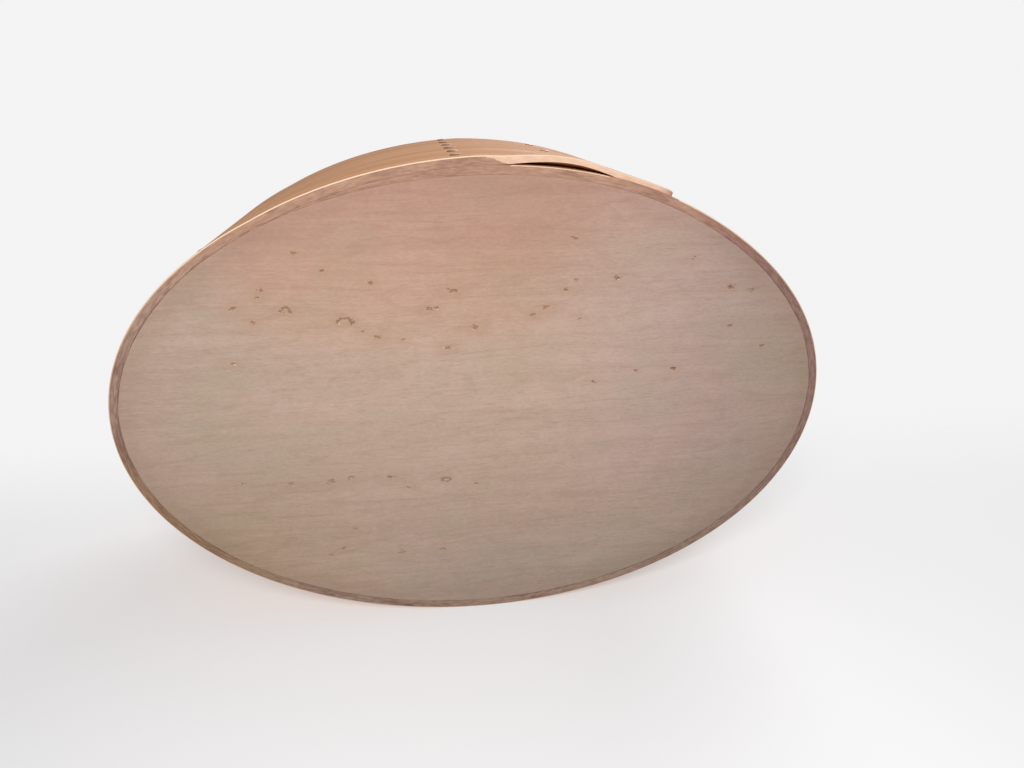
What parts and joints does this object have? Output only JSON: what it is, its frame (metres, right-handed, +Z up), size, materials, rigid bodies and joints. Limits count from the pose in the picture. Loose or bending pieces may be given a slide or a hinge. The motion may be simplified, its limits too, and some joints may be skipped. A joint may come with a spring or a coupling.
{
  "type": "oval bentwood carrier",
  "caption": "Open oval bentwood box with a finger-lapped side band, pegged bottom board and a fixed hoop handle tacked inside, for carrying small household things.",
  "frame": {"origin": "centre of the oval on the plane that the carrier stands on", "axes": "+X along the oval and the way the lap fingers point, -Y towards the lapped long side, +Z up towards the hoop"},
  "size_m": [0.214, 0.1459, 0.176],
  "materials": {
    "band_maple": "thin worn varnish, honey tan",
    "board_maple": "bare figured maple with small eyes, waxed",
    "handle_wood": "thin worn varnish, honey tan",
    "copper": "dark oxidised copper",
    "peg_wood": "bare end grain"
  },
  "bodies": {
    "root": {"side_band": "band_maple", "bottom_board": "board_maple", "handle": "handle_wood", "lower_finger_tacks": "copper", "middle_finger_tacks": "copper", "upper_finger_tacks": "copper", "handle_tacks": "copper", "bottom_pegs": "peg_wood"}
  },
  "joints": []
}
